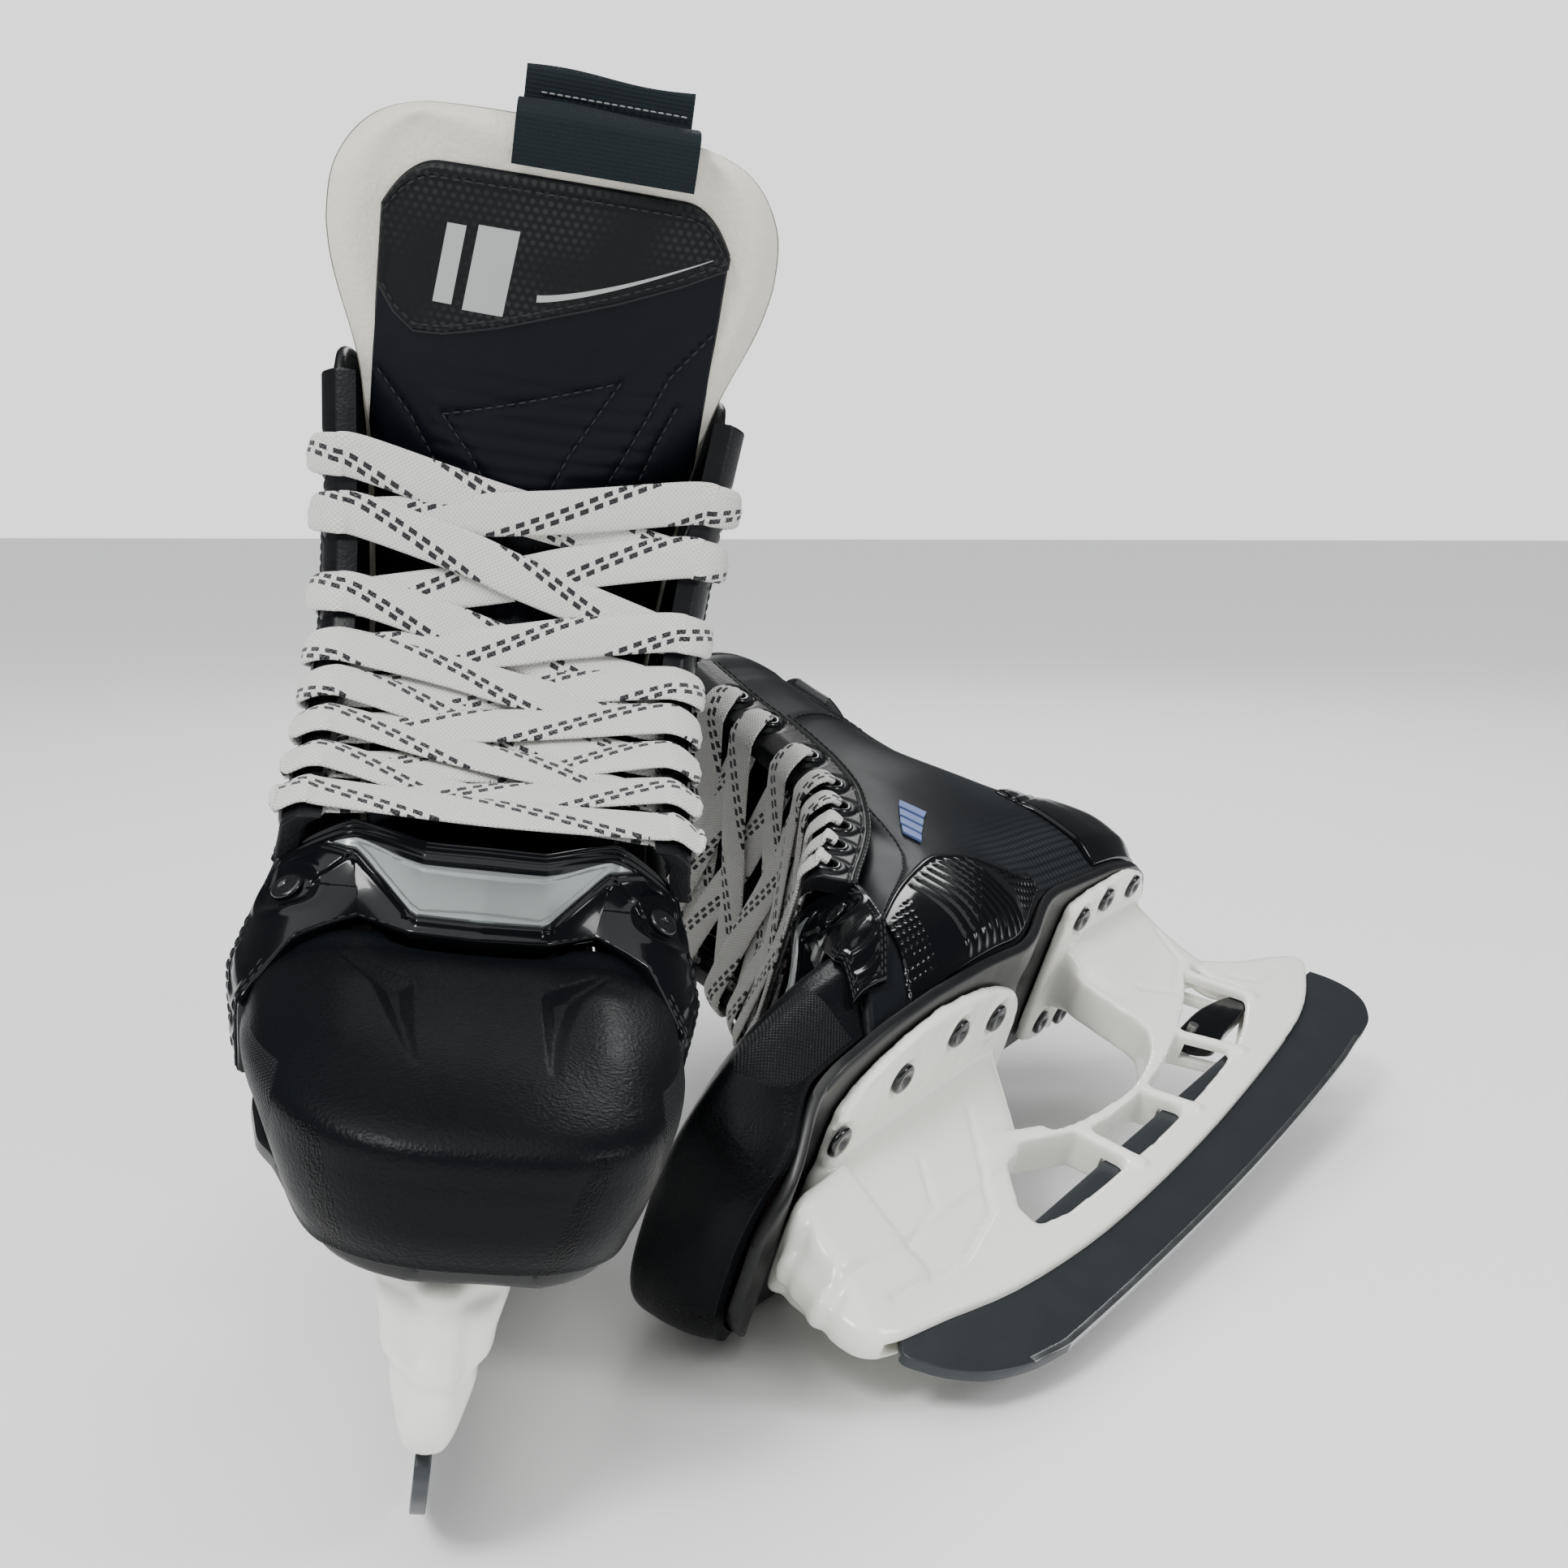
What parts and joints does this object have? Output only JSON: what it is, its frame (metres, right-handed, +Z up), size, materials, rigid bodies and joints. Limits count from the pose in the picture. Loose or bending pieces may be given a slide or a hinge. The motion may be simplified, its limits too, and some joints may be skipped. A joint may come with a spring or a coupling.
{
  "type": "ice hockey skates",
  "caption": "Pair of ice hockey skates with moulded boot, laced tongue, blade holder and a removable steel runner; one stands and leans, the other lies on its side.",
  "frame": {"origin": "middle of the pair's bounding box, on the floor", "axes": "+Z up, -Y towards the toe of the standing right skate, +X towards the lying left skate"},
  "size_m": [0.3476, 0.3826, 0.3007],
  "materials": {
    "runner_steel": "dark coated steel with a bright ground edge",
    "holder_nylon": "glossy off-white nylon",
    "black_plastic": "glossy black plastic",
    "pin_steel": "plain steel",
    "rivet_steel": "dark coated rivets",
    "composite": "glossy black composite",
    "board": "stiff board",
    "footbed_foam": "foam with a textile top",
    "quarter": "satin charcoal composite",
    "lining": "felt lining",
    "toe_plastic": "pebbled satin black plastic",
    "silver_plate": "satin silver-grey",
    "eyestay_synthetic": "black coated synthetic",
    "guard_plastic": "flexible black plastic",
    "lining_dark": "dark moisture-wicking lining over foam",
    "tongue_synthetic": "black synthetic",
    "felt": "cream wool felt",
    "panel_print": "dark grey printed film",
    "label_ribbon": "black woven ribbon",
    "lace_cord": "off-white woven flat lace with black flecks"
  },
  "bodies": {
    "right_boot": {"right_holder": "holder_nylon", "right_holder_rivets": "rivet_steel", "right_trigger_pin": "pin_steel", "right_trigger_spring": "pin_steel", "right_outsole": "composite", "right_insole_board": "board", "right_footbed": "footbed_foam", "right_boot_shell": "quarter", "right_toe_liner": "lining", "right_toe_cap": "toe_plastic", "right_facemask": "black_plastic", "right_facemask_plate": "silver_plate", "right_facemask_rivets": "rivet_steel", "right_side_panel_outer": "black_plastic", "right_side_panel_inner": "black_plastic", "right_eyestay_outer": "eyestay_synthetic", "right_eyestay_inner": "eyestay_synthetic", "right_eyelets": "rivet_steel", "right_heel_counter": "black_plastic", "right_collar_pad": "lining_dark", "right_tongue_base": "tongue_synthetic", "right_lace": "lace_cord"},
    "right_trigger": {"right_trigger": "black_plastic"},
    "right_runner": {"right_runner": "runner_steel"},
    "right_tongue": {"right_tongue_felt": "felt", "right_tongue_face": "tongue_synthetic", "right_tongue_panel": "panel_print", "right_tongue_label": "label_ribbon"},
    "right_tendon": {"right_tendon_guard": "guard_plastic"},
    "left_boot": {"left_holder": "holder_nylon", "left_holder_rivets": "rivet_steel", "left_trigger_pin": "pin_steel", "left_trigger_spring": "pin_steel", "left_outsole": "composite", "left_insole_board": "board", "left_footbed": "footbed_foam", "left_boot_shell": "quarter", "left_toe_liner": "lining", "left_toe_cap": "toe_plastic", "left_facemask": "black_plastic", "left_facemask_plate": "silver_plate", "left_facemask_rivets": "rivet_steel", "left_side_panel_outer": "black_plastic", "left_side_panel_inner": "black_plastic", "left_eyestay_outer": "eyestay_synthetic", "left_eyestay_inner": "eyestay_synthetic", "left_eyelets": "rivet_steel", "left_heel_counter": "black_plastic", "left_collar_pad": "lining_dark", "left_tongue_base": "tongue_synthetic", "left_lace": "lace_cord"},
    "left_trigger": {"left_trigger": "black_plastic"},
    "left_runner": {"left_runner": "runner_steel"},
    "left_tongue": {"left_tongue_felt": "felt", "left_tongue_face": "tongue_synthetic", "left_tongue_panel": "panel_print", "left_tongue_label": "label_ribbon"},
    "left_tendon": {"left_tendon_guard": "guard_plastic"}
  },
  "joints": [
    {"name": "right_runner_release", "type": "hinge", "parent": "right_boot", "child": "right_runner", "pos_m": [-0.131, -0.16984, 0.03093], "axis": [-0.9914, 0, 0.1305], "range_deg": [0, 3.3], "stiffness_Nm_per_rad": 1.5, "springref_deg": -20.05},
    {"name": "right_trigger_pull", "type": "hinge", "parent": "right_boot", "child": "right_trigger", "pos_m": [-0.12963, 0.01616, 0.04134], "axis": [0.9914, 0, -0.1305], "range_deg": [0, 15], "stiffness_Nm_per_rad": 0.02, "springref_deg": -17.19},
    {"name": "right_tongue_flex", "type": "hinge", "parent": "right_boot", "child": "right_tongue", "pos_m": [-0.10777, -0.03544, 0.20741], "axis": [0.9914, 0, -0.1305], "range_deg": [0, 30], "stiffness_Nm_per_rad": 0.6, "springref_deg": -28.65},
    {"name": "right_tendon_flex", "type": "hinge", "parent": "right_boot", "child": "right_tendon", "pos_m": [-0.10777, 0.06316, 0.20741], "axis": [-0.9914, 0, 0.1305], "range_deg": [0, 20], "stiffness_Nm_per_rad": 1.2, "springref_deg": -5.73},
    {"name": "left_runner_release", "type": "hinge", "parent": "left_boot", "child": "left_runner", "pos_m": [-0.02999, -0.12183, 0.01804], "axis": [-0.2172, 0.3114, -0.9251], "range_deg": [0, 3.3], "stiffness_Nm_per_rad": 1.5, "springref_deg": -20.05},
    {"name": "left_trigger_pull", "type": "hinge", "parent": "left_boot", "child": "left_trigger", "pos_m": [0.09235, 0.01749, 0.03621], "axis": [0.2172, -0.3114, 0.9251], "range_deg": [0, 15], "stiffness_Nm_per_rad": 0.02, "springref_deg": -17.19},
    {"name": "left_tongue_flex", "type": "hinge", "parent": "left_boot", "child": "left_tongue", "pos_m": [-0.05816, 0.08578, 0.09455], "axis": [0.2172, -0.3114, 0.9251], "range_deg": [0, 14], "stiffness_Nm_per_rad": 0.6, "springref_deg": -28.65},
    {"name": "left_tendon_flex", "type": "hinge", "parent": "left_boot", "child": "left_tendon", "pos_m": [0.01051, 0.15614, 0.10211], "axis": [-0.2172, 0.3114, -0.9251], "range_deg": [0, 20], "stiffness_Nm_per_rad": 1.2, "springref_deg": -5.73},
    {"name": "left_skate_lift", "type": "slide", "parent": "right_boot", "child": "left_boot", "axis": [0.8, 0, 0.6], "range_m": [0, 0.2]}
  ],
  "couplings": [
    {"joint": "right_trigger_pull", "follows": "right_runner_release", "ratio": 4.5},
    {"joint": "left_trigger_pull", "follows": "left_runner_release", "ratio": 4.5}
  ]
}
